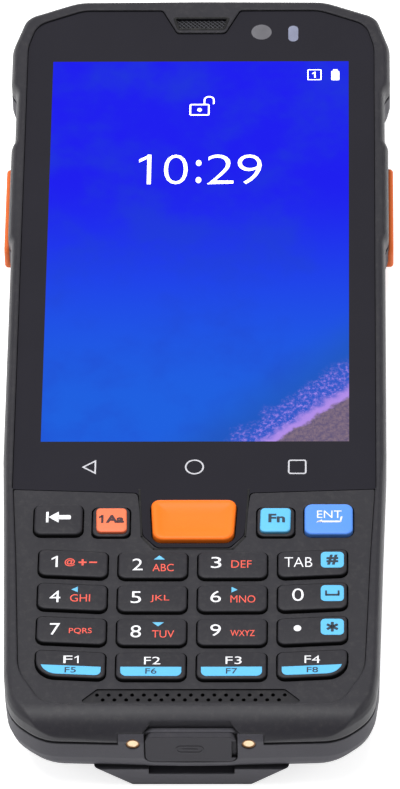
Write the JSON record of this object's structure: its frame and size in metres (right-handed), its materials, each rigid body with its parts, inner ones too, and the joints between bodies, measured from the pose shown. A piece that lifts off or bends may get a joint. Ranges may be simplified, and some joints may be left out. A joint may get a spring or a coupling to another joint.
{
  "type": "portable data terminal",
  "caption": "Rugged handheld barcode terminal with a touch display, numeric keypad, side triggers, scan window, port cover and removable battery.",
  "frame": {"origin": "under the middle of the terminal, on the plane of its back", "axes": "+Y towards the scanning end, +Z out of the screen, +X to the right as the screen is read"},
  "size_m": [0.0672, 0.162, 0.017],
  "materials": {
    "frame_grey": "fine satin texture, mid grey",
    "shell_charcoal": "fine matt texture, near black",
    "panel_charcoal": "matt, dark grey",
    "key_charcoal": "satin, dark grey, with white printed legends",
    "key_black": "satin black",
    "key_blue": "satin light blue with a white legend",
    "scan_orange": "satin orange",
    "trigger_orange": "satin orange",
    "cap_salmon": "satin salmon",
    "cap_cyan": "satin light cyan",
    "glass_black": "polished, black printed border",
    "display": "lit colour display",
    "grille_black": "matt black",
    "mesh_steel": "fine black mesh",
    "module_black": "plain black",
    "lens_black": "polished black",
    "lamp_clear": "clear lens over a pale lamp",
    "window_dark": "polished dark red",
    "rubber_black": "matt rubber",
    "board_green": "solder mask green",
    "frame_metal": "cast, bead blasted",
    "can_steel": "tinned sheet",
    "screw_steel": "black zinc",
    "contact_gold": "pale gold plate",
    "battery_wrap": "plain wrap",
    "latch_orange": "satin orange"
  },
  "bodies": {
    "terminal": {"front_frame": "frame_grey", "front_glass": "glass_black", "display_panel": "display", "keypad_panel": "panel_charcoal", "speaker_grille": "grille_black", "loudspeaker": "module_black", "earpiece_mesh": "mesh_steel", "earpiece": "module_black", "front_camera": "lens_black", "light_sensor": "lens_black", "keypad_mat": "rubber_black", "keypad_board": "board_green", "mid_frame": "frame_metal", "main_board": "board_green", "shield_cans": "can_steel", "card_holder": "can_steel", "vibration_motor": "can_steel", "rear_shell": "shell_charcoal", "usb_socket": "can_steel", "charge_contacts": "contact_gold", "scan_window": "window_dark", "scan_engine": "module_black", "rear_camera": "lens_black", "camera_lamp": "lamp_clear", "battery_pack": "battery_wrap", "battery_cover": "shell_charcoal", "battery_seal": "rubber_black", "housing_screws": "screw_steel", "side_switches": "module_black"},
    "back_key": {"back_key": "key_black"},
    "enter_key": {"enter_key": "key_blue"},
    "scan_key": {"scan_key": "scan_orange"},
    "key_1": {"key_1": "key_charcoal"},
    "key_2": {"key_2": "key_charcoal"},
    "key_3": {"key_3": "key_charcoal"},
    "key_tab": {"key_tab": "key_charcoal"},
    "key_4": {"key_4": "key_charcoal"},
    "key_5": {"key_5": "key_charcoal"},
    "key_6": {"key_6": "key_charcoal"},
    "key_0": {"key_0": "key_charcoal"},
    "key_7": {"key_7": "key_charcoal"},
    "key_8": {"key_8": "key_charcoal"},
    "key_9": {"key_9": "key_charcoal"},
    "key_dot": {"key_dot": "key_charcoal"},
    "key_f1": {"key_f1": "key_charcoal"},
    "key_f2": {"key_f2": "key_charcoal"},
    "key_f3": {"key_f3": "key_charcoal"},
    "key_f4": {"key_f4": "key_charcoal"},
    "alpha_key": {"alpha_key": "key_black", "alpha_key_cap": "cap_salmon"},
    "fn_key": {"fn_key": "key_black", "fn_key_cap": "cap_cyan"},
    "trigger_left": {"trigger_left": "trigger_orange"},
    "trigger_right": {"trigger_right": "trigger_orange"},
    "power_key": {"power_key": "key_charcoal"},
    "volume_rocker": {"volume_rocker": "key_charcoal"},
    "port_cover": {"port_cover": "rubber_black"},
    "battery_latch": {"battery_latch": "latch_orange"}
  },
  "joints": [
    {"name": "back_key_press", "type": "slide", "parent": "terminal", "child": "back_key", "axis": [0, 0, 1], "range_m": [-0.0006, 0], "stiffness_N_per_m": 350},
    {"name": "enter_key_press", "type": "slide", "parent": "terminal", "child": "enter_key", "axis": [0, 0, 1], "range_m": [-0.0006, 0], "stiffness_N_per_m": 350},
    {"name": "scan_key_press", "type": "slide", "parent": "terminal", "child": "scan_key", "axis": [0, 0, 1], "range_m": [-0.0006, 0], "stiffness_N_per_m": 350},
    {"name": "key_1_press", "type": "slide", "parent": "terminal", "child": "key_1", "axis": [0, 0, 1], "range_m": [-0.0006, 0], "stiffness_N_per_m": 350},
    {"name": "key_2_press", "type": "slide", "parent": "terminal", "child": "key_2", "axis": [0, 0, 1], "range_m": [-0.0006, 0], "stiffness_N_per_m": 350},
    {"name": "key_3_press", "type": "slide", "parent": "terminal", "child": "key_3", "axis": [0, 0, 1], "range_m": [-0.0006, 0], "stiffness_N_per_m": 350},
    {"name": "key_tab_press", "type": "slide", "parent": "terminal", "child": "key_tab", "axis": [0, 0, 1], "range_m": [-0.0006, 0], "stiffness_N_per_m": 350},
    {"name": "key_4_press", "type": "slide", "parent": "terminal", "child": "key_4", "axis": [0, 0, 1], "range_m": [-0.0006, 0], "stiffness_N_per_m": 350},
    {"name": "key_5_press", "type": "slide", "parent": "terminal", "child": "key_5", "axis": [0, 0, 1], "range_m": [-0.0006, 0], "stiffness_N_per_m": 350},
    {"name": "key_6_press", "type": "slide", "parent": "terminal", "child": "key_6", "axis": [0, 0, 1], "range_m": [-0.0006, 0], "stiffness_N_per_m": 350},
    {"name": "key_0_press", "type": "slide", "parent": "terminal", "child": "key_0", "axis": [0, 0, 1], "range_m": [-0.0006, 0], "stiffness_N_per_m": 350},
    {"name": "key_7_press", "type": "slide", "parent": "terminal", "child": "key_7", "axis": [0, 0, 1], "range_m": [-0.0006, 0], "stiffness_N_per_m": 350},
    {"name": "key_8_press", "type": "slide", "parent": "terminal", "child": "key_8", "axis": [0, 0, 1], "range_m": [-0.0006, 0], "stiffness_N_per_m": 350},
    {"name": "key_9_press", "type": "slide", "parent": "terminal", "child": "key_9", "axis": [0, 0, 1], "range_m": [-0.0006, 0], "stiffness_N_per_m": 350},
    {"name": "key_dot_press", "type": "slide", "parent": "terminal", "child": "key_dot", "axis": [0, 0, 1], "range_m": [-0.0006, 0], "stiffness_N_per_m": 350},
    {"name": "key_f1_press", "type": "slide", "parent": "terminal", "child": "key_f1", "axis": [0, 0, 1], "range_m": [-0.0006, 0], "stiffness_N_per_m": 350},
    {"name": "key_f2_press", "type": "slide", "parent": "terminal", "child": "key_f2", "axis": [0, 0, 1], "range_m": [-0.0006, 0], "stiffness_N_per_m": 350},
    {"name": "key_f3_press", "type": "slide", "parent": "terminal", "child": "key_f3", "axis": [0, 0, 1], "range_m": [-0.0006, 0], "stiffness_N_per_m": 350},
    {"name": "key_f4_press", "type": "slide", "parent": "terminal", "child": "key_f4", "axis": [0, 0, 1], "range_m": [-0.0006, 0], "stiffness_N_per_m": 350},
    {"name": "alpha_key_press", "type": "slide", "parent": "terminal", "child": "alpha_key", "axis": [0, 0, 1], "range_m": [-0.0006, 0], "stiffness_N_per_m": 350},
    {"name": "fn_key_press", "type": "slide", "parent": "terminal", "child": "fn_key", "axis": [0, 0, 1], "range_m": [-0.0006, 0], "stiffness_N_per_m": 350},
    {"name": "trigger_left_press", "type": "slide", "parent": "terminal", "child": "trigger_left", "axis": [1, 0, 0], "range_m": [0, 0.0005], "stiffness_N_per_m": 500},
    {"name": "trigger_right_press", "type": "slide", "parent": "terminal", "child": "trigger_right", "axis": [-1, 0, 0], "range_m": [0, 0.0005], "stiffness_N_per_m": 500},
    {"name": "power_key_press", "type": "slide", "parent": "terminal", "child": "power_key", "axis": [-1, 0, 0], "range_m": [0, 0.0005], "stiffness_N_per_m": 350},
    {"name": "volume_rocker_tip", "type": "hinge", "parent": "terminal", "child": "volume_rocker", "pos_m": [-0.0309, 0.05405, 0.009], "axis": [0, 0, 1], "range_deg": [-3, 3], "stiffness_Nm_per_rad": 0.004},
    {"name": "port_cover_swing", "type": "hinge", "parent": "terminal", "child": "port_cover", "pos_m": [-0.00745, -0.0808, 0.0107], "axis": [0, 0, -1], "range_deg": [0, 120]},
    {"name": "battery_latch_slide", "type": "slide", "parent": "terminal", "child": "battery_latch", "axis": [0, -1, 0], "range_m": [0, 0.003]}
  ]
}
